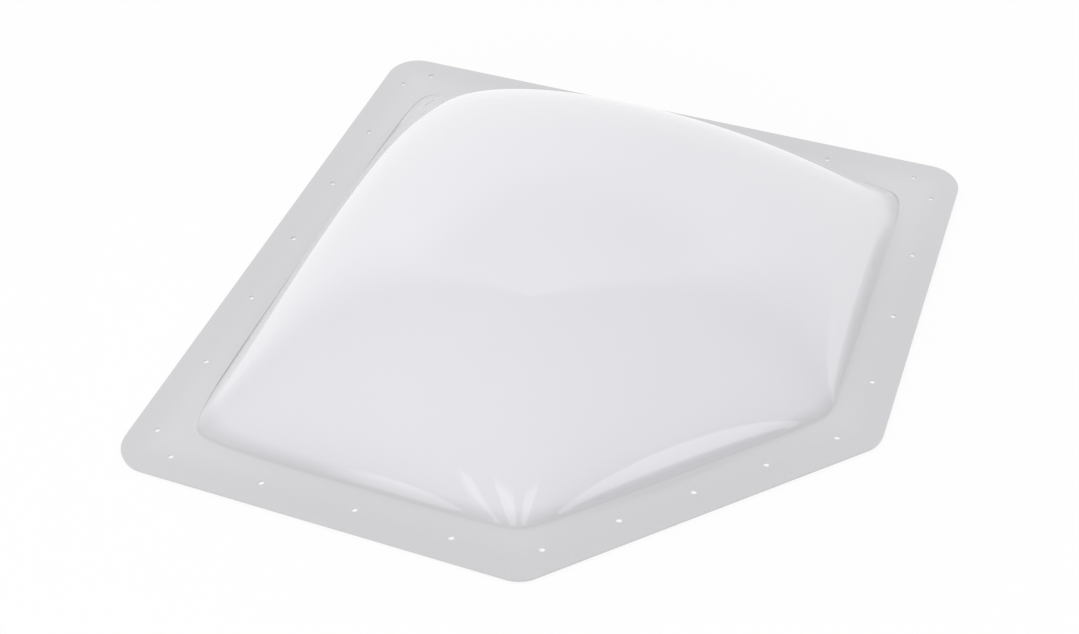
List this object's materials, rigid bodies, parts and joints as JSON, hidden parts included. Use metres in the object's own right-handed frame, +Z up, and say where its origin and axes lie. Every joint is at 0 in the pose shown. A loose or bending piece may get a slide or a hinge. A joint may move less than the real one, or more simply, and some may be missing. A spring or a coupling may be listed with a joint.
{
  "type": "rv skylight",
  "caption": "Neo-angle bubble skylight for a caravan roof: a blown translucent dome on a drilled flat flange, square with one corner cut off.",
  "frame": {"origin": "middle of the flange's whole square, the cut-off corner filled in, on the flange's underside", "axes": "+Z up out of the roof through the crown; +X right and -Y front, the cut-off corner lying between them"},
  "size_m": [0.7112, 0.7112, 0.1732],
  "materials": {
    "translucent_white": "glossy translucent white polycarbonate, smooth on both faces"
  },
  "bodies": {
    "root": {"skylight_dome": "translucent_white"}
  },
  "joints": []
}
